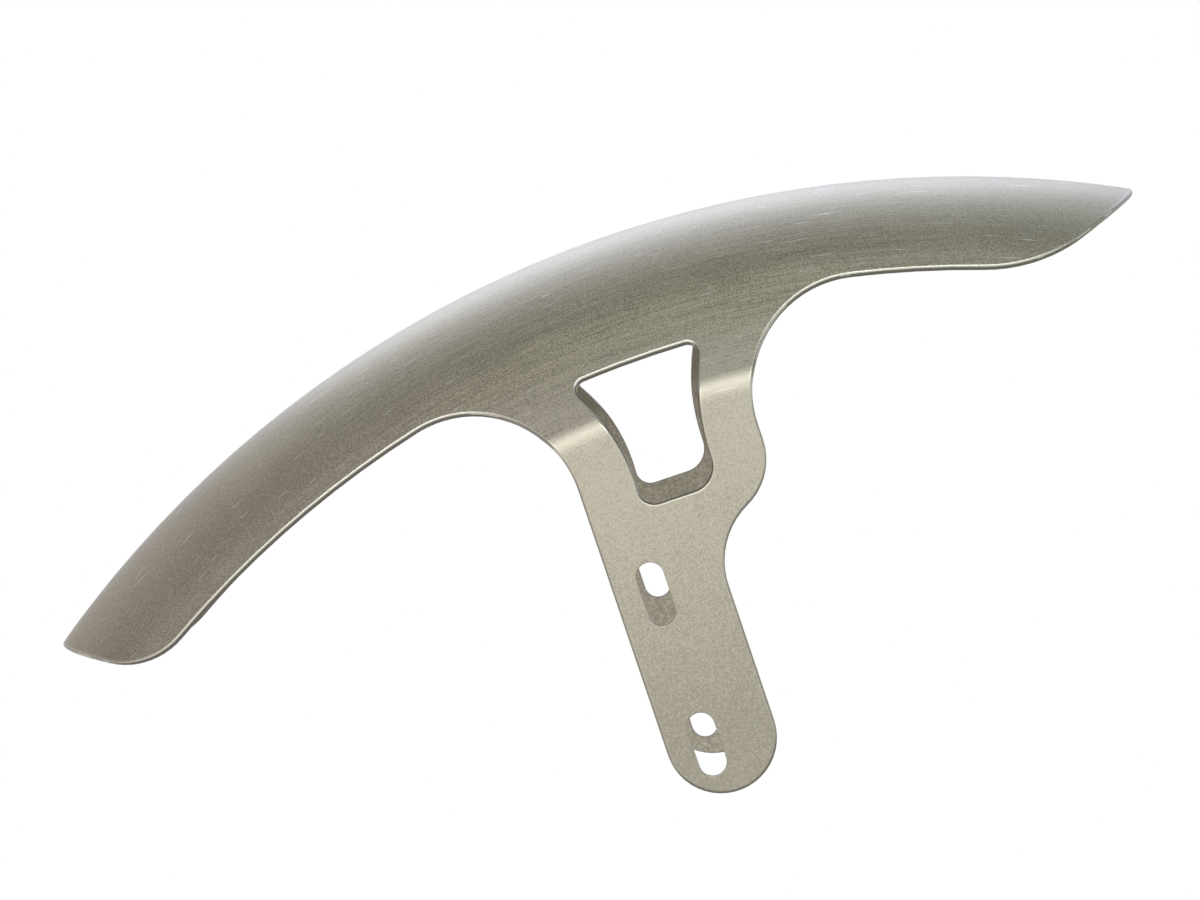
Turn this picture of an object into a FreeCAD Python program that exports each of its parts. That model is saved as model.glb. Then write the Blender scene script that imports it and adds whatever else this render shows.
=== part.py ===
"""Motorcycle front fender: one pressed and folded steel sheet with a slotted leg on each side.

Frame: X forward, Y to the left, Z up along the legs' bolt slots. The origin lies midway between
the two legs, midway between their upper and lower slots. The sheet's outer face is a surface of
revolution about the wheel's axle, which runs along Y. One smooth outline trims it in side view,
and the trimmed face gets its wall inwards, so that every cut edge stands square to the sheet.
"""
import FreeCAD, Part
import math
import os

import Sketcher

# Driving sizes in millimetres and degrees, with what each one measures.
SIZES = (
    ("crown_radius", 367, "axle to the outer face of the crown"),
    ("crown_height", 139, "middle of the slots to the crown, right above the axle"),
    ("axle_lead", 23, "slot line forward to the axle"),
    ("leg_span", 140, "between the outer faces of the two legs"),
    ("sheet_wall", 2, "thickness of the sheet"),
    ("fold_depth", 56, "crown to the fold where the flank turns into the leg"),
    ("fold_bend", 14, "outer bend radius of that fold"),
    ("flank_lean", 35, "slope of the flank away from upright"),
    ("rear_skirt_depth", 30, "crown to the lower edge behind the leg"),
    ("front_skirt_depth", 29.5, "crown to the lower edge ahead of the leg"),
    ("tail_angle", 36.1, "rear end of the crown, about the axle"),
    ("tail_slope", 27.5, "fall of the rear edge, going forward"),
    ("tail_corner", 26.5, "corner between the rear edge and the skirt"),
    ("nose_angle", 27.4, "front end of the crown, about the axle"),
    ("nose_slope", 18, "rise of the front edge, going forward"),
    ("nose_corner", 55, "corner between the front edge and the skirt"),
    ("rear_notch", 35.5, "sweep from the skirt into the leg's rear edge"),
    ("front_notch", 36.5, "sweep from the skirt into the shoulder's front edge"),
    ("shoulder_reach", 48.4, "slot line to the shoulder's front edge"),
    ("shoulder_edge", 5, "straight part of the shoulder's front edge"),
    ("shoulder_round", 20.5, "lower corner of the shoulder"),
    ("waist_round", 25.2, "hollow between the shoulder and the leg"),
    ("leg_width", 36, "width of the leg, and of its round end"),
    ("slot_setback", 13, "leg's rear edge to the slot line"),
    ("slot_width", 9, "width of a bolt slot"),
    ("slot_length", 21, "length of a bolt slot, end to end"),
    ("slot_pitch", 51, "between the middles of a leg's two slots"),
    ("end_margin", 7, "lower slot's end to the level of the leg's end"),
    ("window_depth", 40, "crown to the window's upper edge"),
    ("window_height", 46, "window's upper edge to its lower edge, above the axle"),
    ("window_rear", 5.4, "slot line to the window's rear side at the narrowest place"),
    ("window_width", 25, "width of the window at the narrowest place"),
    ("window_waist", 9, "window's lower edge to the narrowest place"),
    ("window_rear_sweep", 60, "curve of the rear side, which flares upwards"),
    ("window_front_sweep", 76, "curve of the front side, which flares upwards"),
    ("window_top_corner", 3.5, "upper corners of the window"),
    ("window_rear_corner", 5, "lower rear corner of the window"),
    ("window_front_corner", 8, "lower front corner of the window"),
)

# Lengths that several sketches share, worked out from the sheet.
AXLE_DROP = "(sizes.crown_radius - sizes.crown_height)"
LEG_DROP = "(sizes.slot_pitch / 2 + sizes.slot_length / 2 + sizes.end_margin)"
SILL = "(sizes.crown_height - sizes.window_depth - sizes.window_height)"

# Names for a curve's ends and for a sketch's own axes and origin.
START, END, CENTRE = range(1, 4)
LEVEL_AXIS, UPRIGHT_AXIS = range(-1, -3, -1)
ORIGIN = (LEVEL_AXIS, START)

# Sketch planes: side view has X to the right and Z up, cross section has Y to the right and Z up.
SIDE_VIEW = FreeCAD.Rotation(FreeCAD.Vector(1, 0, 0), 90)
CROSS_SECTION = FreeCAD.Rotation(FreeCAD.Vector(1, 1, 1), 120)

HALF_TURN = math.degrees(math.pi)
DOWN = 1.5 * HALF_TURN
# The trim outline closes this many crown radii from the axle, clear of the sheet.
OUTSIDE = 1.05


def point(x, y):
    """A point in a sketch's own plane."""
    return FreeCAD.Vector(x, y, 0)


def polar(centre, radius, degrees):
    """The point on a circle at an angle counted from the sketch's first axis."""
    angle = math.radians(degrees)
    return centre + point(radius * math.cos(angle), radius * math.sin(angle))


def above(centre, distance, x):
    """The point over a centre that lies at a distance from it and has a given x."""
    return point(x, centre.y + math.sqrt(distance ** 2 - (x - centre.x) ** 2))


class Outline:
    """A sketch whose curves are drawn roughly and then pinned by sizes from the sheet."""

    def __init__(self, doc, name, rotation):
        self.sketch = doc.addObject("Sketcher::SketchObject", name)
        self.sketch.Placement = FreeCAD.Placement(FreeCAD.Vector(), rotation)

    def line(self, start, end, construction=False):
        return self.sketch.addGeometry(Part.LineSegment(start, end), construction)

    def arc(self, centre, radius, first, last):
        """An arc drawn counter-clockwise from one angle in degrees to another."""
        circle = Part.Circle(centre, FreeCAD.Vector(0, 0, 1), radius)
        curve = Part.ArcOfCircle(circle, math.radians(first), math.radians(last))
        return self.sketch.addGeometry(curve, False)

    def mark(self, place):
        """A construction point."""
        return self.sketch.addGeometry(Part.Point(place), True)

    def tie(self, kind, *places):
        """A relation that has no size."""
        self.sketch.addConstraint(Sketcher.Constraint(kind, *places))

    def length(self, kind, expression, *places):
        """A length or radius that follows the sheet."""
        value = self.sketch.evalExpression(expression)
        index = self.sketch.addConstraint(Sketcher.Constraint(kind, *places, value))
        self.sketch.setExpression("Constraints[%d]" % index, expression)

    def angle(self, expression, line):
        """A line's direction in degrees, counted from the sketch's first axis."""
        value = math.radians(self.sketch.evalExpression(expression))
        index = self.sketch.addConstraint(Sketcher.Constraint("Angle", line, value))
        self.sketch.setExpression("Constraints[%d]" % index, "(%s) * 1 deg" % expression)

    def smooth(self, *joints):
        """Run curves smoothly into each other where their ends meet."""
        for first, first_end, second, second_end in joints:
            self.tie("Tangent", first, first_end, second, second_end)

    def axle_mark(self, axle):
        """The wheel's axle, seen end on in the side view."""
        mark = self.mark(axle)
        self.length("DistanceX", "sizes.axle_lead", *ORIGIN, mark, START)
        self.length("DistanceY", AXLE_DROP, mark, START, *ORIGIN)
        return mark


def size_sheet(doc):
    """The table of driving sizes, each in a cell with its own alias."""
    sheet = doc.addObject("Spreadsheet::Sheet", "sizes")
    for row, (alias, value, meaning) in enumerate(SIZES, start=1):
        sheet.set("A%d" % row, alias)
        sheet.set("B%d" % row, str(value))
        sheet.set("C%d" % row, meaning)
        sheet.setAlias("B%d" % row, alias)
    doc.recompute()
    return {alias: sheet.get(alias) for alias, value, meaning in SIZES}


def section_sketch(doc, size):
    """The outer face across the wheel: a leg, its fold and flank, the crown, and the other side."""
    half = size["leg_span"] / 2
    lean = size["flank_lean"]
    bend = size["fold_bend"]
    crown = point(0, size["crown_radius"])
    fold_level = size["crown_radius"] - size["fold_depth"]
    roof_centre = crown - point(0, half)
    draft = Outline(doc, "section", CROSS_SECTION)
    draft.sketch.setExpression("Placement.Base.x", "sizes.axle_lead")
    draft.sketch.setExpression("Placement.Base.z", "-" + AXLE_DROP)

    roof = draft.arc(roof_centre, half, lean, HALF_TURN - lean)
    spoke = draft.line(point(0, 0), crown, construction=True)
    draft.tie("Coincident", spoke, START, *ORIGIN)
    draft.tie("PointOnObject", spoke, END, UPRIGHT_AXIS)
    draft.tie("PointOnObject", spoke, END, roof)
    draft.tie("PointOnObject", roof, CENTRE, UPRIGHT_AXIS)
    draft.length("Distance", "sizes.crown_radius", spoke)

    flanks = []
    legs = []
    for side in (1, -1):
        knee = point(side * half, fold_level)
        knee_centre = knee - point(side * bend, 0)
        foot = point(side * half, fold_level / 2)
        roof_edge = polar(roof_centre, half, 90 - side * (90 - lean))
        flank = draft.line(knee, roof_edge)
        leg = draft.line(knee, foot)
        if side > 0:
            fold = draft.arc(knee_centre, bend, 0, lean)
            roof_end, flank_end, leg_end = START, END, START
        else:
            fold = draft.arc(knee_centre, bend, HALF_TURN - lean, HALF_TURN)
            roof_end, flank_end, leg_end = END, START, END
        draft.smooth((roof, roof_end, flank, END),
                     (flank, START, fold, flank_end),
                     (fold, leg_end, leg, START))
        draft.tie("Vertical", leg)
        draft.angle("90 + %d * sizes.flank_lean" % side, flank)
        draft.length("Radius", "sizes.fold_bend", fold)
        flanks.append(flank)
        legs.append(leg)

    crease = draft.mark(point(half, fold_level))
    draft.tie("PointOnObject", crease, START, flanks[0])
    draft.tie("PointOnObject", crease, START, legs[0])
    draft.length("DistanceX", "sizes.leg_span / 2", *ORIGIN, crease, START)
    draft.length("DistanceY", "sizes.crown_radius - sizes.fold_depth", *ORIGIN, crease, START)
    draft.length("DistanceY", "(%s - %s) / 2" % (AXLE_DROP, LEG_DROP), *ORIGIN, legs[0], END)
    draft.tie("Symmetric", legs[0], END, legs[1], END, UPRIGHT_AXIS)
    return draft.sketch


def side_sketch(doc, size, axle):
    """The trim line in side view, closed well outside the crown."""
    crown = size["crown_radius"]
    rear_skirt = crown - size["rear_skirt_depth"]
    front_skirt = crown - size["front_skirt_depth"]
    rear_x = -size["slot_setback"]
    front_x = rear_x + size["leg_width"]
    shoulder_x = size["shoulder_reach"]
    end_round = size["leg_width"] / 2
    waist = size["waist_round"]
    shoulder = size["shoulder_round"]
    draft = Outline(doc, "side_outline", SIDE_VIEW)
    axle_mark = draft.axle_mark(axle)

    rear_centre = above(axle, rear_skirt - size["rear_notch"], rear_x - size["rear_notch"])
    front_centre = above(axle, front_skirt - size["front_notch"], shoulder_x + size["front_notch"])
    shoulder_centre = point(shoulder_x - shoulder, front_centre.y - size["shoulder_edge"])
    waist_turn = math.acos(1 - (shoulder_x - front_x) / (waist + shoulder))
    waist_centre = point(front_x + waist, shoulder_centre.y - (waist + shoulder) * math.sin(waist_turn))
    end_level = end_round - size["slot_pitch"] / 2 - size["slot_length"] / 2 - size["end_margin"]
    end_centre = point(rear_x + end_round, end_level)
    waist_degrees = math.degrees(waist_turn)
    rear_degrees = math.degrees(math.atan2(rear_centre.y - axle.y, rear_centre.x - axle.x))
    front_degrees = math.degrees(math.atan2(front_centre.y - axle.y, front_centre.x - axle.x))

    # Rear edge, its corner and the rear skirt.
    tail_tip = polar(axle, crown, 90 + size["tail_angle"])
    tail_way = polar(point(0, 0), size["tail_corner"], -size["tail_slope"])
    tail_foot = tail_tip + tail_way
    tail_centre = polar(tail_foot, size["tail_corner"], 90 - size["tail_slope"])
    tail = draft.line(tail_tip - tail_way, tail_foot)
    tail_round = draft.arc(tail_centre, size["tail_corner"],
                           DOWN - size["tail_slope"], DOWN + size["tail_angle"])
    skirt_rear = draft.arc(axle, rear_skirt, rear_degrees, 90 + size["tail_angle"])
    notch_rear = draft.arc(rear_centre, size["rear_notch"], 0, rear_degrees)

    # Leg: rear edge, round end, front edge, waist and shoulder.
    leg_rear = draft.line(point(rear_x, rear_centre.y), point(rear_x, end_level))
    leg_end = draft.arc(end_centre, end_round, HALF_TURN, 2 * HALF_TURN)
    leg_front = draft.line(point(front_x, end_level), point(front_x, waist_centre.y))
    waist_arc = draft.arc(waist_centre, waist, HALF_TURN - waist_degrees, HALF_TURN)
    shoulder_arc = draft.arc(shoulder_centre, shoulder, -waist_degrees, 0)
    shoulder_line = draft.line(point(shoulder_x, shoulder_centre.y), point(shoulder_x, front_centre.y))

    # Front notch, front skirt, its corner and the front edge.
    nose_tip = polar(axle, crown, 90 - size["nose_angle"])
    nose_way = polar(point(0, 0), size["nose_corner"] / 2, size["nose_slope"])
    nose_foot = nose_tip - nose_way
    nose_centre = polar(nose_foot, size["nose_corner"], 90 + size["nose_slope"])
    notch_front = draft.arc(front_centre, size["front_notch"], front_degrees, HALF_TURN)
    skirt_front = draft.arc(axle, front_skirt, 90 - size["nose_angle"], front_degrees)
    nose_round = draft.arc(nose_centre, size["nose_corner"],
                           DOWN - size["nose_angle"], DOWN + size["nose_slope"])
    nose = draft.line(nose_foot, nose_tip + nose_way)
    sky = draft.arc(axle, crown * OUTSIDE, 90 - size["nose_angle"], 90 + size["tail_angle"])

    draft.smooth((tail, END, tail_round, START), (tail_round, END, skirt_rear, END),
                 (skirt_rear, START, notch_rear, END), (notch_rear, START, leg_rear, START),
                 (leg_rear, END, leg_end, START), (leg_end, END, leg_front, START),
                 (leg_front, END, waist_arc, END), (waist_arc, START, shoulder_arc, START),
                 (shoulder_arc, END, shoulder_line, START), (shoulder_line, END, notch_front, END),
                 (notch_front, START, skirt_front, END), (skirt_front, START, nose_round, START),
                 (nose_round, END, nose, START))
    draft.tie("Coincident", nose, END, sky, START)
    draft.tie("Coincident", sky, END, tail, START)
    for arc in (skirt_rear, skirt_front, sky):
        draft.tie("Coincident", arc, CENTRE, axle_mark, START)
    for line in (leg_rear, leg_front, shoulder_line):
        draft.tie("Vertical", line)

    # The ends of the crown, at their angles about the axle.
    for tip, edge, direction in ((tail_tip, tail, "90 + sizes.tail_angle"),
                                 (nose_tip, nose, "90 - sizes.nose_angle")):
        spoke = draft.line(axle, tip, construction=True)
        draft.tie("Coincident", spoke, START, axle_mark, START)
        draft.tie("PointOnObject", spoke, END, edge)
        draft.angle(direction, spoke)
        draft.length("Distance", "sizes.crown_radius", spoke)
    draft.angle("-sizes.tail_slope", tail)
    draft.angle("sizes.nose_slope", nose)

    for arc, radius in ((tail_round, "sizes.tail_corner"), (notch_rear, "sizes.rear_notch"),
                        (waist_arc, "sizes.waist_round"), (shoulder_arc, "sizes.shoulder_round"),
                        (notch_front, "sizes.front_notch"), (nose_round, "sizes.nose_corner"),
                        (skirt_rear, "sizes.crown_radius - sizes.rear_skirt_depth"),
                        (skirt_front, "sizes.crown_radius - sizes.front_skirt_depth"),
                        (sky, "sizes.crown_radius * %s" % OUTSIDE)):
        draft.length("Radius", radius, arc)
    draft.length("DistanceX", "sizes.slot_setback", leg_rear, END, *ORIGIN)
    draft.length("DistanceX", "sizes.leg_width", leg_rear, END, leg_front, START)
    draft.length("DistanceX", "sizes.shoulder_reach", *ORIGIN, shoulder_line, START)
    draft.length("DistanceY", "sizes.shoulder_edge", shoulder_line, START, shoulder_line, END)
    draft.length("DistanceY", LEG_DROP + " - sizes.leg_width / 2", leg_end, CENTRE, *ORIGIN)
    return draft.sketch


def window_sketch(doc, size, axle):
    """The window above each leg, which flares upwards across the fold into the flank."""
    lintel = size["crown_radius"] - size["window_depth"]
    sill = size["crown_height"] - size["window_depth"] - size["window_height"]
    rear_sweep = size["window_rear_sweep"]
    front_sweep = size["window_front_sweep"]
    rear_corner = size["window_rear_corner"]
    front_corner = size["window_front_corner"]
    top_corner = size["window_top_corner"]
    rear_x = size["window_rear"]
    front_x = rear_x + size["window_width"]
    flare_height = size["window_height"] - size["window_waist"]
    rear_flare = math.degrees(math.atan2(flare_height, rear_sweep))
    front_flare = math.degrees(math.atan2(flare_height, front_sweep))
    rear_centre = point(rear_x - rear_sweep, sill + size["window_waist"])
    front_centre = point(front_x + front_sweep, sill + size["window_waist"])
    rear_top = polar(rear_centre, rear_sweep, rear_flare)
    front_top = polar(front_centre, front_sweep, HALF_TURN - front_flare)
    draft = Outline(doc, "window_outline", SIDE_VIEW)
    axle_mark = draft.axle_mark(axle)

    upper_edge = draft.arc(axle, lintel, 90 - rear_corner / 2, 90 + rear_corner / 2)
    lower_edge = draft.line(point(rear_x + rear_corner, sill), point(front_x - front_corner, sill))
    rear_side = draft.arc(rear_centre, rear_sweep, 0, rear_flare)
    front_side = draft.arc(front_centre, front_sweep, HALF_TURN - front_flare, HALF_TURN)
    top_rear = draft.arc(rear_top + point(top_corner, 0), top_corner, 90, HALF_TURN + rear_flare)
    top_front = draft.arc(front_top - point(top_corner, 0), top_corner, -front_flare, 90)
    low_rear = draft.arc(point(rear_x + rear_corner, sill + rear_corner), rear_corner, HALF_TURN, DOWN)
    low_front = draft.arc(point(front_x - front_corner, sill + front_corner), front_corner,
                          DOWN, 2 * HALF_TURN)

    draft.smooth((upper_edge, START, top_front, END), (top_front, START, front_side, START),
                 (front_side, END, low_front, END), (low_front, START, lower_edge, END),
                 (lower_edge, START, low_rear, END), (low_rear, START, rear_side, START),
                 (rear_side, END, top_rear, END), (top_rear, START, upper_edge, END))
    draft.tie("Coincident", upper_edge, CENTRE, axle_mark, START)
    draft.tie("Horizontal", lower_edge)
    for arc, radius in ((upper_edge, "sizes.crown_radius - sizes.window_depth"),
                        (rear_side, "sizes.window_rear_sweep"), (front_side, "sizes.window_front_sweep"),
                        (top_rear, "sizes.window_top_corner"), (top_front, "sizes.window_top_corner"),
                        (low_rear, "sizes.window_rear_corner"), (low_front, "sizes.window_front_corner")):
        draft.length("Radius", radius, arc)
    draft.length("DistanceY", SILL, *ORIGIN, lower_edge, START)
    draft.length("DistanceX", "sizes.window_rear_sweep - sizes.window_rear", rear_side, CENTRE, *ORIGIN)
    draft.length("DistanceX", "sizes.window_rear + sizes.window_width + sizes.window_front_sweep",
                 *ORIGIN, front_side, CENTRE)
    for side in (rear_side, front_side):
        draft.length("DistanceY", SILL + " + sizes.window_waist", *ORIGIN, side, CENTRE)
    return draft.sketch


def slot_sketch(doc, size):
    """The two bolt slots of a leg, one above the other on the slot line."""
    radius = size["slot_width"] / 2
    reach = size["slot_length"] / 2 - radius
    draft = Outline(doc, "slot_outline", SIDE_VIEW)
    for side in (1, -1):
        middle = side * size["slot_pitch"] / 2
        top = draft.arc(point(0, middle + reach), radius, 0, HALF_TURN)
        bottom = draft.arc(point(0, middle - reach), radius, HALF_TURN, 2 * HALF_TURN)
        rear = draft.line(point(-radius, middle + reach), point(-radius, middle - reach))
        front = draft.line(point(radius, middle - reach), point(radius, middle + reach))
        draft.smooth((top, END, rear, START), (rear, END, bottom, START),
                     (bottom, END, front, START), (front, END, top, START))
        draft.tie("Vertical", rear)
        draft.tie("PointOnObject", top, CENTRE, UPRIGHT_AXIS)
        draft.length("Radius", "sizes.slot_width / 2", top)
        draft.length("DistanceY", "sizes.slot_length - sizes.slot_width", bottom, CENTRE, top, CENTRE)
        near = bottom if side > 0 else top
        inner_end = "(sizes.slot_pitch - sizes.slot_length + sizes.slot_width) / 2"
        ends = (*ORIGIN, near, CENTRE) if side > 0 else (near, CENTRE, *ORIGIN)
        draft.length("DistanceY", inner_end, *ends)
    return draft.sketch


def through_body(doc, name, sketch):
    """A side-view outline carried through both sides of the fender."""
    body = doc.addObject("Part::Extrusion", name)
    body.Base = sketch
    body.DirMode = "Normal"
    body.Symmetric = True
    body.Solid = True
    body.setExpression("LengthFwd", "2 * sizes.leg_span")
    return body


def trimmed_face(doc, section, outline, cutters):
    """The revolved outer face, trimmed to the outline and opened by the window and the slots."""
    face = doc.addObject("Part::Revolution", "outer_face")
    face.Source = section
    face.Axis = FreeCAD.Vector(0, -1, 0)
    face.setExpression("Base.x", "sizes.axle_lead")
    face.setExpression("Base.z", "-" + AXLE_DROP)
    face.Angle = HALF_TURN
    face.Symmetric = True
    face.Solid = False
    trimmed = doc.addObject("Part::MultiCommon", "trimmed_face")
    trimmed.Shapes = [face, outline]
    for cutter in cutters:
        opened = doc.addObject("Part::Cut", cutter.Name + "_cut")
        opened.Base = trimmed
        opened.Tool = cutter
        trimmed = opened
    return trimmed


def folded_sheet(doc, face):
    """The fender: the trimmed outer face with the sheet's thickness added on its inner side."""
    fender = doc.addObject("Part::Offset", "fender")
    fender.Label = "fender"
    fender.Source = face
    fender.Mode = "Skin"
    fender.Fill = True
    fender.setExpression("Value", "-sizes.sheet_wall")
    return fender


def check(doc, fender, size):
    """Stop if an object failed, the solid is broken, or the wall went to the outside."""
    for item in doc.Objects:
        if {"Invalid", "Error"} & set(item.State):
            raise RuntimeError("%s failed: %s" % (item.Label, item.State))
    shape = fender.Shape
    if shape.isNull() or not shape.isValid() or len(shape.Solids) != 1:
        raise RuntimeError("the fender is not one valid solid")
    if shape.optimalBoundingBox(True).YLength > size["leg_span"] + size["sheet_wall"] / 2:
        raise RuntimeError("the wall lies outside the outer face")


def main():
    doc = FreeCAD.newDocument("front_fender")
    size = size_sheet(doc)
    axle = point(size["axle_lead"], size["crown_height"] - size["crown_radius"])
    section = section_sketch(doc, size)
    blank = through_body(doc, "blank", side_sketch(doc, size, axle))
    window = through_body(doc, "window", window_sketch(doc, size, axle))
    slots = through_body(doc, "slots", slot_sketch(doc, size))
    face = trimmed_face(doc, section, blank, (window, slots))
    fender = folded_sheet(doc, face)
    doc.recompute()
    check(doc, fender, size)
    os.makedirs("parts", exist_ok=True)
    fender.Shape.exportStep("parts/%s.step" % fender.Label)
    print("%s: %.0f cubic millimetres" % (fender.Label, fender.Shape.Volume))


main()
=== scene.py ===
"""Dresses the front fender: rounded cut edges, raw brushed steel, a soft studio and the camera."""
import logging
import math
from dataclasses import dataclass, field
from enum import Enum
from typing import Any

import bmesh
import bpy
from mathutils import Matrix, Vector, kdtree


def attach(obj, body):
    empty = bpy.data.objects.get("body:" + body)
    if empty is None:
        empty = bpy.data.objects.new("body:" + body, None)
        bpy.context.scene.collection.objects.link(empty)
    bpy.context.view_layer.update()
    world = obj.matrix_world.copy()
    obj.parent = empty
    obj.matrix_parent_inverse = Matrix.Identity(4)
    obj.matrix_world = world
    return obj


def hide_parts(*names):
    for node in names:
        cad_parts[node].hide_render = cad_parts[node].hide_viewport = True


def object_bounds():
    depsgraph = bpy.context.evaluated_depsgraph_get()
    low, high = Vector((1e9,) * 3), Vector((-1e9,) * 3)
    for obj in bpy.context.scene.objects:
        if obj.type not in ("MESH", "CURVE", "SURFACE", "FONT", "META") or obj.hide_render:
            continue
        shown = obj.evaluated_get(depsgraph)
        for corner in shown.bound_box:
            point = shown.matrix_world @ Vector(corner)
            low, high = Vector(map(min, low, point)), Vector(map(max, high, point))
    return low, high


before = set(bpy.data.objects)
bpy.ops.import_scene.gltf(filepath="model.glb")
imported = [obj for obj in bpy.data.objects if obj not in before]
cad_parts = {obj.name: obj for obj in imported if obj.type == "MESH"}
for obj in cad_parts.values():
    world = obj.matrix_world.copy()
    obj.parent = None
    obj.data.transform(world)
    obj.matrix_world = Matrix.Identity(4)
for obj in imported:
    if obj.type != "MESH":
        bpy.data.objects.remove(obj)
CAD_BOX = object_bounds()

Colour = tuple[float, float, float]
Point = tuple[float, float, float]
Pair = tuple[float, float]

AXLE = Vector((0.023, 0.0, -0.228))
# The middle of a share or of a noise, which go from 0 to 1.
MIDDLE = 0.5
# Sockets of a Mix node that is set to colours.
MIX_FIRST, MIX_SECOND, MIX_RESULT = 6, 7, 2

log = logging.getLogger("front_fender")


class Region(Enum):
    """Face marks on the sheet that its finish reads."""

    CUT_EDGE = "cut_edge"
    CUT_FACE = "cut_face"
    INNER_SIDE = "inner_side"


class Value:
    """A shader number whose operators add Math nodes."""

    def __init__(self, board: "Board", socket: bpy.types.NodeSocket) -> None:
        """Wrap a socket.

        Args:
            board: The node tree that the socket belongs to.
            socket: The output that carries the number.
        """
        self.board = board
        self.socket = socket

    def math(self, operation: str, *others: "Value | float") -> "Value":
        """Put this number through a Math node.

        Args:
            operation: The node's operation.
            others: The node's further inputs.

        Returns:
            The result.
        """
        inputs = dict(enumerate((self, *others)))
        return self.board.add("ShaderNodeMath", {"operation": operation}, inputs)

    def __add__(self, other: "Value | float") -> "Value":
        """Sum."""
        return self.math("ADD", other)

    def __sub__(self, other: "Value | float") -> "Value":
        """Difference."""
        return self.math("SUBTRACT", other)

    def __mul__(self, other: "Value | float") -> "Value":
        """Product."""
        return self.math("MULTIPLY", other)

    def __radd__(self, other: float) -> "Value":
        """Sum with a number on the left."""
        return self.math("ADD", other)

    def __rsub__(self, other: float) -> "Value":
        """Difference from a number on the left."""
        return self.board.add("ShaderNodeMath", {"operation": "SUBTRACT"}, {0: other, 1: self})

    def __rmul__(self, other: float) -> "Value":
        """Product with a number on the left."""
        return self.math("MULTIPLY", other)

    def __abs__(self) -> "Value":
        """The number without its sign."""
        return self.math("ABSOLUTE")

    def step(self, low: float, high: float) -> "Value":
        """Rise smoothly from 0 at one number to 1 at another.

        Args:
            low: Where the rise starts.
            high: Where it ends.

        Returns:
            The share of the rise.
        """
        settings = {"interpolation_type": "SMOOTHSTEP"}
        inputs = {"Value": self, "From Min": low, "From Max": high}
        return self.board.add("ShaderNodeMapRange", settings, inputs)

    def sibling(self, output: str) -> "Value":
        """Another output of the same node."""
        return Value(self.board, self.socket.node.outputs[output])


class Board:
    """A node tree, with one method that makes every node."""

    def __init__(self, tree: bpy.types.NodeTree) -> None:
        """Start on an empty tree.

        Args:
            tree: The tree to fill.
        """
        self.tree = tree
        tree.nodes.clear()

    def add(self, kind: str, settings: dict[str, Any], inputs: dict[Any, Any],
            output: int | str = 0) -> Value | None:
        """Make a node.

        Args:
            kind: The node's type.
            settings: The node's own properties, set first.
            inputs: Values or links of its sockets, by name or number.
            output: The output to hand back.

        Returns:
            The chosen output, or nothing where the node has none.
        """
        node = self.tree.nodes.new(kind)
        for name, value in settings.items():
            setattr(node, name, value)
        for key, value in inputs.items():
            if isinstance(value, Value):
                self.tree.links.new(value.socket, node.inputs[key])
            else:
                node.inputs[key].default_value = value
        return Value(self, node.outputs[output]) if len(node.outputs) else None

    def mix(self, share: Value, first: Value | Colour, second: Value | Colour,
            blend: str = "MIX") -> Value:
        """Mix two colours.

        Args:
            share: The share of the second colour.
            first: Colour at share 0.
            second: Colour at share 1.
            blend: How the second colour acts on the first.

        Returns:
            The mixed colour.
        """
        settings = {"data_type": "RGBA", "blend_type": blend, "clamp_factor": True}
        inputs = {"Factor": share, MIX_FIRST: opaque(first), MIX_SECOND: opaque(second)}
        return self.add("ShaderNodeMix", settings, inputs, MIX_RESULT)

    def split(self, vector: Value) -> tuple[Value, Value, Value]:
        """The three parts of a vector."""
        first = self.add("ShaderNodeSeparateXYZ", {}, {"Vector": vector}, "X")
        return first, first.sibling("Y"), first.sibling("Z")

    def join(self, x: Value, y: Value, z: Value) -> Value:
        """A vector from its three parts."""
        return self.add("ShaderNodeCombineXYZ", {}, {"X": x, "Y": y, "Z": z})

    def noise(self, place: Value, scale: float, detail: float) -> Value:
        """A noise from 0 to 1 at a place."""
        inputs = {"Vector": place, "Scale": scale, "Detail": detail}
        return self.add("ShaderNodeTexNoise", {}, inputs)

    def mark(self, region: Region) -> Value:
        """A face mark: 1 on the region and 0 elsewhere."""
        return self.add("ShaderNodeAttribute", {"attribute_name": region.value}, {}, "Fac")


def opaque(colour: Value | Colour) -> Any:
    """A plain colour with full alpha; a linked one as it is."""
    return colour if isinstance(colour, Value) else (*colour, 1.0)


def new_material(name: str) -> tuple[bpy.types.Material, Board]:
    """Make a material with an empty node tree.

    Args:
        name: The material's name.

    Returns:
        The material and the board for its nodes.
    """
    material = bpy.data.materials.new(name)
    material.use_nodes = True
    return material, Board(material.node_tree)


def add_object(name: str, data: Any) -> bpy.types.Object:
    """Put new data into the scene as an object.

    Args:
        name: The object's name.
        data: Its mesh, lamp or camera.

    Returns:
        The object.
    """
    item = bpy.data.objects.new(name, data)
    bpy.context.scene.collection.objects.link(item)
    return item


@dataclass(frozen=True)
class Spot:
    """Where a point lies on the sheet, as shader values."""

    place: Value
    across: Value
    turn: Value
    radius: Value
    on_arch: Value
    low_flank: Value
    high_flank: Value
    cut: Value
    away: Value
    inner: Value


@dataclass(frozen=True)
class Marks:
    """What the mill and the brush left on the sheet, as shader numbers from 0 to 1."""

    strokes: Value
    bands: Value
    scratches: Value
    grain: Value
    mottle: Value
    specks: Value


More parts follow.
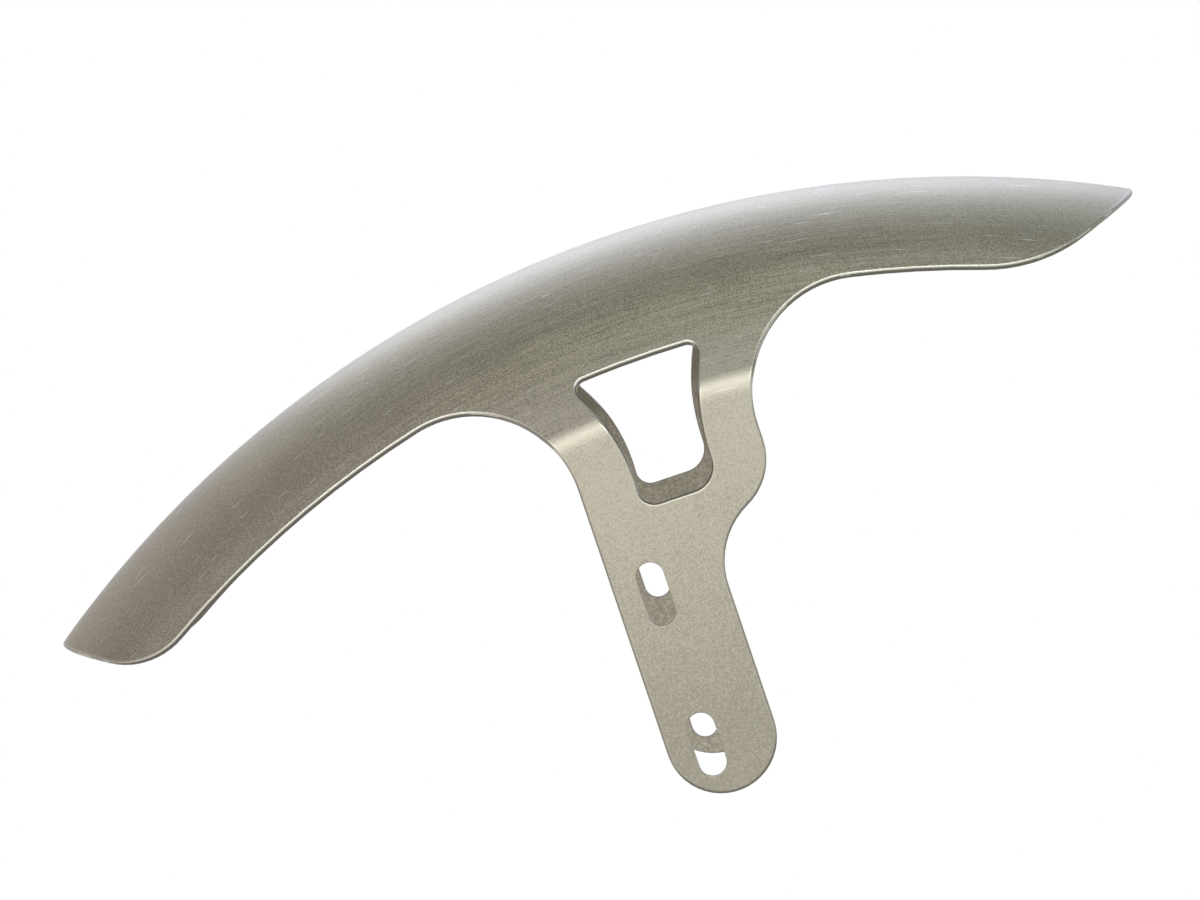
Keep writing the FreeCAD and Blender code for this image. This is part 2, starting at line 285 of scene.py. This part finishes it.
@dataclass(frozen=True)
class BrushedSteel:
    """Raw steel sheet, brushed along the wheel's arc, with grain, specks, a few scratches, and
    painted light, shade and reflection tints in places.

    Lengths are in metres and angles in radians. A pair called rise, fade, turn, side or cut gives
    the two numbers between which a share goes from 0 to 1.
    """

    name: str = "raw_brushed_steel"
    dull_tone: Colour = (0.437, 0.41, 0.32)
    bright_tone: Colour = (0.70, 0.66, 0.53)
    speck_tone: Colour = (0.70, 0.66, 0.535)
    # Lightened as painted light on the shaded inner side.
    inner_lit_tone: Colour = (0.70, 0.66, 0.535)
    scale_tone: Colour = (0.41, 0.38, 0.30)
    scratch_tone: Colour = (0.95, 0.93, 0.88)
    # Rounded cut edges: partly ground bare metal, partly painted highlight.
    edge_metal_and_highlight_tone: Colour = (0.80, 0.78, 0.70)
    # Cut faces turned away: partly laser-cut oxide, partly painted shade.
    cut_oxide_and_shade_tone: Colour = (0.24, 0.215, 0.165)
    # Painted reflection: a warm tint on the upper flanks near the middle.
    middle_reflection_tint: Colour = (0.985, 0.98, 0.91)
    # Painted reflection: a slight green tint on the front flanks.
    front_reflection_tint: Colour = (0.965, 1.0, 0.97)

    # Distances from the axle.
    arch_radius: float = 0.330
    # Where the legs' painted shade goes from darkest at the feet to lightest at the fold.
    leg_shade_rise: Pair = (0.190, 0.300)
    fold_rise: Pair = (0.300, 0.316)
    flank_rise: Pair = (0.316, 0.342)

    # Turns about the axle, counted forwards from straight up.
    brush_fade: Pair = (0.20, 0.45)
    middle_fade: Pair = (0.05, 0.45)
    front_turn: Pair = (-0.10, 0.35)

    # Distances from the middle of the wheel.
    middle_side: Pair = (0.030, 0.055)
    front_side: Pair = (0.020, 0.050)

    # Length and width of the drawn marks, and size of the others.
    stroke: Pair = (0.022, 0.0005)
    band: Pair = (0.110, 0.0022)
    scratch: Pair = (0.010, 0.0005)
    speck: float = 0.0012
    grain: float = 0.00045
    mottle: float = 0.035
    fine_detail: float = 2.0
    plain_detail: float = 0.0

    # How much of each mark shows.
    scratch_cut: Pair = (0.805, 0.825)
    speck_cut: Pair = (0.72, 0.80)
    speck_share: float = 0.30
    brush_loss: float = 0.75
    stroke_weight: float = 1.1
    band_weight: float = 0.3
    brush_middle: float = 0.7
    leg_grain: float = 1.9
    arch_grain: float = 0.9
    mottle_weight: float = 0.3
    # Painted shade on the legs, and painted light on the lower flank near the middle.
    leg_shade_weight: float = 0.45
    flank_light_weight: float = 0.35
    tone_rise: Pair = (-0.5, 0.5)

    # Mill scale on the inner side, with painted shade on it over the arch.
    bare_grain: float = 1.5
    bare_speck: float = 0.5
    bare_middle: float = 1.0
    bare_rise: Pair = (-0.25, 0.25)
    inner_arch_shade: float = 0.8

    # Cut edges: partly ground bare metal and laser-cut oxide, partly painted highlight and painted
    # shade.
    leg_edge: float = 0.15
    arch_edge: float = 0.55
    cut_share: float = 0.70

    # Gloss and relief.
    roughness: float = 0.40
    edge_roughness: float = 0.30
    inner_roughness: float = 0.55
    brushed_roughness: float = 0.12
    grain_relief: float = 1.6
    inner_relief: float = 2.0
    relief: float = 0.00004
    relief_strength: float = 0.35

    def material(self) -> bpy.types.Material:
        """Build the finish.

        Returns:
            The material.
        """
        material, board = new_material(self.name)
        spot = self.find_spot(board)
        marks = self.find_marks(board, spot)
        brush = spot.on_arch * (1.0 - self.brush_loss * abs(spot.turn).step(*self.brush_fade))
        brushed = self.brushed(spot, marks, brush)
        rough = (self.roughness + self.brushed_roughness * brushed
                 + spot.inner * (self.inner_roughness - self.roughness)
                 + spot.cut * (self.edge_roughness - self.roughness))
        height = (marks.strokes * brush
                  + marks.grain * (self.grain_relief + self.inner_relief * spot.inner))
        bump = board.add("ShaderNodeBump", {}, {
            "Strength": self.relief_strength, "Distance": self.relief, "Height": height})
        surface = board.add("ShaderNodeBsdfPrincipled", {}, {
            "Base Color": self.colour(board, spot, marks, brushed), "Metallic": 1.0,
            "Roughness": rough, "Normal": bump})
        board.add("ShaderNodeOutputMaterial", {}, {"Surface": surface})
        return material

    def find_spot(self, board: Board) -> Spot:
        """Work out where a point lies on the sheet.

        Args:
            board: The material's board.

        Returns:
            The place, in the ways that the finish needs it.
        """
        place = board.add("ShaderNodeTexCoord", {}, {}, "Object")
        x, across, z = board.split(place)
        forward = x - AXLE.x
        upward = z - AXLE.z
        turn = forward.math("ARCTAN2", upward)
        radius = (forward * forward + upward * upward).math("SQRT")
        on_arch = radius.step(*self.fold_rise)
        # The flanks near the middle of the arch carry painted light and a painted reflection tint.
        middle = on_arch * (1.0 - abs(turn).step(*self.middle_fade))
        low_flank = middle * (1.0 - radius.step(*self.flank_rise))
        return Spot(
            place=place, across=across, turn=turn, radius=radius, on_arch=on_arch,
            low_flank=low_flank, high_flank=middle - low_flank,
            cut=board.mark(Region.CUT_EDGE), away=board.mark(Region.CUT_FACE),
            inner=board.mark(Region.INNER_SIDE))

    def find_marks(self, board: Board, spot: Spot) -> Marks:
        """Lay the marks of the mill and the brush.

        Args:
            board: The material's board.
            spot: Where the point lies.

        Returns:
            The marks.
        """
        scratches = self.drawn(board, spot, self.scratch, self.plain_detail)
        return Marks(
            strokes=self.drawn(board, spot, self.stroke, self.fine_detail),
            bands=self.drawn(board, spot, self.band, self.fine_detail),
            scratches=scratches.step(*self.scratch_cut),
            grain=board.noise(spot.place, 1 / self.grain, self.fine_detail),
            mottle=board.noise(spot.place, 1 / self.mottle, self.fine_detail),
            specks=board.noise(spot.place, 1 / self.speck, self.plain_detail))

    def drawn(self, board: Board, spot: Spot, size: Pair, detail: float) -> Value:
        """A noise drawn out along the wheel's arc.

        Args:
            board: The material's board.
            spot: Where the point lies.
            size: Length and width of a mark.
            detail: Finer layers of the noise.

        Returns:
            The noise, from 0 to 1.
        """
        length, width = size
        along = spot.turn * self.arch_radius
        stretched = board.join(
            along * (1 / length), spot.across * (1 / width), spot.radius * (1 / width))
        return board.noise(stretched, 1.0, detail)

    def brushed(self, spot: Spot, marks: Marks, brush: Value) -> Value:
        """How bright the bare steel was left, about 0, with painted shade on the legs and painted
        light on the lower flank near the middle.

        Args:
            spot: Where the point lies.
            marks: The marks there.
            brush: How strongly the brush worked there.

        Returns:
            The brightness.
        """
        drawn = self.stroke_weight * marks.strokes + self.band_weight * marks.bands
        # Painted shade: the legs darker towards their feet, lighter towards the fold.
        painted_leg_shade = (spot.radius.step(*self.leg_shade_rise) - MIDDLE) * (1.0 - spot.on_arch)
        return (brush * (drawn - self.brush_middle)
                + (marks.grain - MIDDLE) * (self.leg_grain + self.arch_grain * spot.on_arch)
                + self.mottle_weight * (marks.mottle - MIDDLE)
                # Painted light: the lower flank lighter near the middle of the arch.
                + self.leg_shade_weight * painted_leg_shade + self.flank_light_weight * spot.low_flank)

    def colour(self, board: Board, spot: Spot, marks: Marks, brushed: Value) -> Value:
        """Colour the sheet.

        Args:
            board: The material's board.
            spot: Where the point lies.
            marks: The marks there.
            brushed: How bright the bare steel was left there, with the painted shade and light.

        Returns:
            The colour.
        """
        colour = board.mix(brushed.step(*self.tone_rise), self.dull_tone, self.bright_tone)
        specks = self.speck_share * marks.specks.step(*self.speck_cut)
        colour = board.mix(specks, colour, self.speck_tone)
        bare = self.bare_grain * marks.grain + self.bare_speck * marks.specks - self.bare_middle
        # Painted shade: the inner side darker over the arch.
        bare = bare.step(*self.bare_rise) * (1.0 - self.inner_arch_shade * spot.on_arch)
        # Mill-scale mottle on the inner side, in tones lightened as painted light.
        colour = board.mix(spot.inner, colour, board.mix(bare, self.scale_tone, self.inner_lit_tone))
        scratches = marks.scratches * spot.on_arch * (1.0 - spot.inner)
        colour = board.mix(scratches, colour, self.scratch_tone)
        # Rounded cut edges lighter, more on the arch: partly ground bare metal, partly a painted
        # highlight.
        edge = spot.cut * (self.leg_edge + self.arch_edge * spot.on_arch)
        colour = board.mix(edge, colour, self.edge_metal_and_highlight_tone)
        # Cut faces turned away darker: partly laser-cut oxide, partly painted shade.
        colour = board.mix(self.cut_share * spot.away, colour, self.cut_oxide_and_shade_tone)
        side = abs(spot.across)
        # Painted reflection: a warm tint on the upper flanks near the middle.
        painted_warm_reflection = spot.high_flank * side.step(*self.middle_side) * (1.0 - spot.cut)
        colour = board.mix(painted_warm_reflection, colour, self.middle_reflection_tint, "MULTIPLY")
        # Painted reflection: a slight green tint on the front flanks.
        front = spot.turn.step(*self.front_turn) * side.step(*self.front_side)
        return board.mix(front, colour, self.front_reflection_tint, "MULTIPLY")


@dataclass
class FenderSheet:
    """The folded sheet: the solid's own form with its cut edges rounded.

    Lengths are in metres and angles in radians. slot_reach is how far the edges of the bolt slots
    lie from the middle, along X and along Z.
    """

    node: str = "fender"
    name: str = "fender_sheet"
    slot: str = "bare_steel"
    body: str = "root"
    edge_round: float = 0.0011
    fine_round: float = 0.0003
    round_steps: int = 4
    slot_reach: Pair = (0.006, 0.038)
    rim_space: float = 0.002
    rim_step: float = 0.0005
    crown_radius: float = 0.367
    leg_half: float = 0.070
    fold_depth: float = 0.056
    fold_bend: float = 0.014
    lean: float = math.radians(35)
    weld: float = 1e-6
    sharp: float = math.radians(40)
    lip_turn: float = math.radians(56)
    finish: BrushedSteel = field(default_factory=BrushedSteel)

    def build(self) -> bpy.types.Object:
        """Make the piece and dress it.

        Returns:
            The piece.
        """
        sheet = bmesh.new()
        sheet.from_mesh(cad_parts[self.node].data)
        bmesh.ops.remove_doubles(sheet, verts=sheet.verts, dist=self.weld)
        self.mark_sides(sheet)
        self.round_edges(sheet)
        self.mark_cut_faces(sheet)
        self.keep_in_box(sheet)
        for face in sheet.faces:
            face.smooth = True
        shading = self.true_normals(sheet)
        mesh = bpy.data.meshes.new(self.name)
        sheet.to_mesh(mesh)
        sheet.free()
        mesh.normals_split_custom_set_from_vertices(shading)
        mesh.materials.append(self.finish.material())
        piece = add_object(self.name, mesh)
        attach(piece, self.body)
        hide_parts(self.node)
        return piece

    @staticmethod
    def marks(sheet: bmesh.types.BMesh, region: Region) -> bmesh.types.BMLayerItem:
        """The layer of a face mark."""
        return sheet.faces.layers.float[region.value]

    def is_sharp(self, edge: bmesh.types.BMEdge) -> bool:
        """Tell a cut edge from a bend or a smooth joint."""
        return edge.is_manifold and edge.calc_face_angle(0.0) > self.sharp

    def mark_sides(self, sheet: bmesh.types.BMesh) -> None:
        """Mark the cut edge's faces and the inner side, which sharp edges part from the outer side.

        The outer side is the largest, and the inner side comes next.

        Args:
            sheet: The welded sheet.
        """
        for region in Region:
            sheet.faces.layers.float.new(region.value)
        cut = self.marks(sheet, Region.CUT_EDGE)
        inner = self.marks(sheet, Region.INNER_SIDE)
        left = set(sheet.faces)
        sides = []
        while left:
            side = [left.pop()]
            for face in side:
                for edge in face.edges:
                    if not self.is_sharp(edge):
                        fresh = left.intersection(edge.link_faces)
                        left -= fresh
                        side.extend(fresh)
            sides.append(side)
        sides.sort(key=lambda side: sum(face.calc_area() for face in side), reverse=True)
        for face in sides[1]:
            face[inner] = 1.0
        for side in sides[2:]:
            for face in side:
                face[cut] = 1.0
        log.info("%d sides on the sheet", len(sides))

    def round_edges(self, sheet: bmesh.types.BMesh) -> None:
        """Round the cut edges, less on the bolt slots and on the inner side.

        Args:
            sheet: The welded and marked sheet.
        """
        cuts = [edge for edge in sheet.edges if self.is_sharp(edge)]
        self.clear_rims(sheet, cuts)
        inner = self.marks(sheet, Region.INNER_SIDE)
        fine = [edge for edge in cuts if self.is_fine(edge, inner)]
        bold = [edge for edge in cuts if not self.is_fine(edge, inner)]
        self.bevel(sheet, bold, self.edge_round)
        self.bevel(sheet, fine, self.fine_round)
        log.info("%d cut edges rounded, %d of them finely", len(cuts), len(fine))

    def clear_rims(self, sheet: bmesh.types.BMesh, cuts: list[bmesh.types.BMEdge]) -> None:
        """Dissolve the points close beside the cut edges, so that their rounding has room.

        Args:
            sheet: The welded and marked sheet.
            cuts: Its cut edges.
        """
        rim = []
        for edge in cuts:
            start, end = (vertex.co for vertex in edge.verts)
            count = math.ceil(edge.calc_length() / self.rim_step)
            rim.extend(start.lerp(end, step / count) for step in range(count + 1))
        tree = kdtree.KDTree(len(rim))
        for number, place in enumerate(rim):
            tree.insert(place, number)
        tree.balance()
        corners = {vertex for edge in cuts for vertex in edge.verts}
        close = []
        for vertex in sheet.verts:
            _, _, distance = tree.find(vertex.co)
            if vertex not in corners and distance < self.rim_space:
                close.append(vertex)
        bmesh.ops.dissolve_verts(sheet, verts=close)
        log.info("%d points cleared beside the cut edges", len(close))

    def is_fine(self, edge: bmesh.types.BMEdge, inner: bmesh.types.BMLayerItem) -> bool:
        """Tell a bolt slot's edge or an edge of the inner side from the other cut edges.

        Args:
            edge: A cut edge.
            inner: The layer that marks the inner side.

        Returns:
            Whether its rounding is fine.
        """
        along, upright = self.slot_reach
        on_slot = all(abs(vertex.co.x) < along and abs(vertex.co.z) < upright
                      for vertex in edge.verts)
        return on_slot or any(face[inner] for face in edge.link_faces)

    def bevel(self, sheet: bmesh.types.BMesh, edges: list[bmesh.types.BMEdge],
              radius: float) -> None:
        """Round some edges and mark the rounding as cut.

        Args:
            sheet: The sheet.
            edges: The edges.
            radius: The rounding's radius.
        """
        rounded = bmesh.ops.bevel(
            sheet, geom=edges, offset=radius, offset_type="OFFSET", affect="EDGES",
            segments=self.round_steps, profile=0.5, material=-1, clamp_overlap=False)
        cut = self.marks(sheet, Region.CUT_EDGE)
        inner = self.marks(sheet, Region.INNER_SIDE)
        for face in rounded["faces"]:
            face[cut] = 1.0
            face[inner] = 0.0

    def mark_cut_faces(self, sheet: bmesh.types.BMesh) -> None:
        """Mark what of the cut edge is turned away from the outer side; it is painted darker,
        partly as laser-cut oxide and partly as painted shade.

        Args:
            sheet: The rounded sheet.
        """
        cut = self.marks(sheet, Region.CUT_EDGE)
        away = self.marks(sheet, Region.CUT_FACE)
        sheet.normal_update()
        for face in sheet.faces:
            if face[cut]:
                outward = self.section_normal(face.calc_center_median())
                face[away] = float(face.normal.angle(outward, 0.0) > self.lip_turn)

    @staticmethod
    def keep_in_box(sheet: bmesh.types.BMesh) -> None:
        """Move what the rounding pushed a hair past the solid's own box back onto it.

        Args:
            sheet: The rounded sheet.
        """
        low, high = CAD_BOX
        for vertex in sheet.verts:
            vertex.co = [min(max(part, least), most)
                         for part, least, most in zip(vertex.co, low, high)]

    def section_normal(self, place: Vector) -> Vector:
        """The outward direction of the pressed sheet, from its section across the wheel.

        Args:
            place: A point on the sheet's outer or inner side.

        Returns:
            The unit direction.
        """
        spoke = Vector((place.x - AXLE.x, 0.0, place.z - AXLE.z))
        side = abs(place.y)
        sine, cosine = math.sin(self.lean), math.cos(self.lean)
        roof = (self.leg_half * cosine - self.fold_depth * sine) / (1.0 - sine)
        angle = math.atan2(spoke.length - self.crown_radius + roof, side)
        if angle < self.lean:
            knee = self.crown_radius - self.fold_depth - self.fold_bend * math.tan(self.lean / 2)
            bend = math.atan2(spoke.length - knee, side - self.leg_half + self.fold_bend)
            angle = min(max(bend, 0.0), self.lean)
        outward = math.copysign(math.cos(angle), place.y)
        return spoke.normalized() * math.sin(angle) + Vector((0.0, outward, 0.0))

    def true_normals(self, sheet: bmesh.types.BMesh) -> list[Vector]:
        """Shading directions: the section's own on both sides, the mesh's on the rounded edges.

        Args:
            sheet: The finished sheet.

        Returns:
            One direction per vertex.
        """
        cut = self.marks(sheet, Region.CUT_EDGE)
        inner = self.marks(sheet, Region.INNER_SIDE)
        sheet.normal_update()
        shading = []
        for vertex in sheet.verts:
            sides = [face for face in vertex.link_faces if not face[cut]]
            if not sides:
                shading.append(vertex.normal.copy())
                continue
            normal = self.section_normal(vertex.co)
            shading.append(-normal if sides[0][inner] else normal)
        return shading


@dataclass(frozen=True)
class Softbox:
    """A soft rectangular lamp. Lengths are in metres, power in watts."""

    name: str
    place: Point
    aim: Point
    width: float
    height: float
    power: float
    colour: Colour

    def build(self) -> None:
        """Hang the lamp."""
        lamp = bpy.data.lights.new(self.name, "AREA")
        lamp.shape = "RECTANGLE"
        lamp.size = self.width
        lamp.size_y = self.height
        lamp.energy = self.power
        lamp.color = self.colour
        item = add_object(self.name, lamp)
        item.location = self.place
        item.visible_camera = False
        way = Vector(self.aim) - Vector(self.place)
        item.rotation_euler = way.to_track_quat("-Z", "Y").to_euler()


@dataclass
class Studio:
    """White surroundings, a pale floor far below the hanging part, and soft lamps.

    Lengths are in metres. A pair called reach gives the two parts of a direction, along X or Y,
    between which a share of the surroundings goes from 0 to 1.
    """

    white: Colour = (1.0, 1.0, 1.0)
    white_level: float = 1.0

    # The floor.
    floor_drop: float = 0.35
    floor_radius: float = 6.0
    floor_sides: int = 96
    floor_tone: Colour = (0.80, 0.80, 0.79)
    floor_glow: Colour = (0.7, 0.7, 0.7)
    floor_lift: float = 0.5
    floor_fade: Pair = (0.5, 1.2)

    # The surroundings that the steel shows.
    top_level: float = 0.245
    front_level: float = 0.92
    front_reach: Pair = (-0.90, -0.40)
    back_tone: Colour = (0.92, 0.97, 1.19)
    back_reach: Pair = (-0.10, 0.66)
    ahead_reach: Pair = (-0.48, 0.02)
    nose_reach: Pair = (0.05, 0.40)
    nose_fade: float = 0.35
    rear_tone: Colour = (1.06, 0.985, 0.98)
    rear_reach: Pair = (-0.5, -0.1)
    rear_level: float = 0.47
    rear_lift: float = 0.04

    lamps: tuple[Softbox, ...] = (
        Softbox("front_softbox", place=(0.07, -0.50, 0.40), aim=(0.02, -0.07, 0.083),
                width=0.85, height=0.14, power=0.70, colour=(0.98, 1.0, 1.08)),
        Softbox("back_softbox", place=(0.13, 0.95, 0.77), aim=(0.04, 0.0, 0.12),
                width=0.95, height=0.60, power=1.15, colour=(0.92, 0.97, 1.19)),
    )

    def build(self) -> None:
        """Set up the surroundings, the floor and the lamps."""
        scene = bpy.context.scene
        scene.view_settings.view_transform = "Standard"
        scene.world = self.surroundings()
        self.floor()
        for lamp in self.lamps:
            lamp.build()

    def surroundings(self) -> bpy.types.World:
        """White where the camera looks, and a softer level elsewhere.

        The steel shows the white backdrop behind the part, duller towards the rear and the nose.

        Returns:
            The world.
        """
        world = bpy.data.worlds.new("studio")
        world.use_nodes = True
        board = Board(world.node_tree)
        x, y, _ = board.split(board.add("ShaderNodeTexCoord", {}, {}, "Generated"))
        camera = board.add("ShaderNodeLightPath", {}, {}, "Is Camera Ray")
        through = camera.sibling("Is Transmission Ray")
        shown_white = (camera + through).math("MINIMUM", 1.0)
        backdrop = camera.sibling("Is Glossy Ray") * y.step(*self.back_reach)
        ahead = x.step(*self.ahead_reach)
        nose = self.nose_fade * x.step(*self.nose_reach)
        front = 1.0 - y.step(*self.front_reach)
        rear = 1.0 - x.step(*self.rear_reach)

        level = (self.top_level + front * (self.front_level - self.top_level)
                 + self.rear_lift * rear)
        back = self.rear_level + (ahead - nose) * (self.white_level - self.rear_level)
        level = level + backdrop * (back - level)
        level = level + shown_white * (self.white_level - level)
        tint = board.mix(rear, self.white, self.rear_tone)
        tint = board.mix(backdrop * ahead, tint, self.back_tone)
        tint = board.mix(shown_white, tint, self.white)
        background = board.add("ShaderNodeBackground", {}, {"Color": tint, "Strength": level})
        board.add("ShaderNodeOutputWorld", {}, {"Surface": background})
        return world

    def floor(self) -> None:
        """A round pale floor that turns white outwards, where it meets the white surroundings."""
        low = CAD_BOX[0].z - self.floor_drop
        disc = bmesh.new()
        bmesh.ops.create_circle(
            disc, cap_ends=True, segments=self.floor_sides, radius=self.floor_radius,
            matrix=Matrix.Translation((0.0, 0.0, low)))
        mesh = bpy.data.meshes.new("floor")
        disc.to_mesh(mesh)
        disc.free()
        mesh.materials.append(self.floor_material())
        add_object("floor", mesh)

    def floor_material(self) -> bpy.types.Material:
        """Pale matt floor near the part, plain white to the camera further out.

        Returns:
            The material.
        """
        material, board = new_material("pale_floor")
        x, y, _ = board.split(board.add("ShaderNodeTexCoord", {}, {}, "Object"))
        distance = (x * x + y * y).math("SQRT")
        camera = board.add("ShaderNodeLightPath", {}, {}, "Is Camera Ray")
        matt = board.add("ShaderNodeBsdfDiffuse", {}, {"Color": opaque(self.floor_tone)})
        glow = board.mix(camera, self.floor_glow, self.white)
        bright = board.add("ShaderNodeEmission", {}, {"Color": glow, "Strength": self.white_level})
        far = distance.step(*self.floor_fade)
        share = far + (1.0 - far) * camera * self.floor_lift
        surface = board.add("ShaderNodeMixShader", {}, {0: share, 1: matt, 2: bright})
        board.add("ShaderNodeOutputMaterial", {}, {"Surface": surface})
        return material


@dataclass(frozen=True)
class Camera:
    """The photograph's viewpoint, tilted to the part's own frame.

    Place and clip distances are in metres, lens and sensor in millimetres.
    """

    place: Point = (0.02319, -1.9329, 0.15030)
    roll: float = math.radians(18.673)
    pitch: float = math.radians(2.44)
    lens: float = 174.6
    sensor: float = 36.0
    clip_near: float = 0.01
    clip_far: float = 50.0

    def build(self) -> None:
        """Set the camera."""
        data = bpy.data.cameras.new("camera")
        data.lens = self.lens
        data.sensor_width = self.sensor
        data.sensor_fit = "HORIZONTAL"
        data.clip_start = self.clip_near
        data.clip_end = self.clip_far
        item = add_object("camera", data)
        right = Vector((math.cos(self.roll), 0.0, -math.sin(self.roll)))
        upright = Vector((math.sin(self.roll), 0.0, math.cos(self.roll)))
        away = Vector((0.0, 1.0, 0.0))
        forward = away * math.cos(self.pitch) - upright * math.sin(self.pitch)
        up = upright * math.cos(self.pitch) + away * math.sin(self.pitch)
        turn = Matrix((right, up, -forward)).transposed()
        item.matrix_world = Matrix.Translation(self.place) @ turn.to_4x4()
        bpy.context.scene.camera = item


def main() -> None:
    """Build the piece and its studio, and note how large the piece came out."""
    logging.basicConfig(level=logging.INFO, format="%(message)s")
    piece = FenderSheet().build()
    log.info("%s: %d faces", piece.name, len(piece.data.polygons))
    Studio().build()
    Camera().build()


if __name__ == "__main__":
    main()
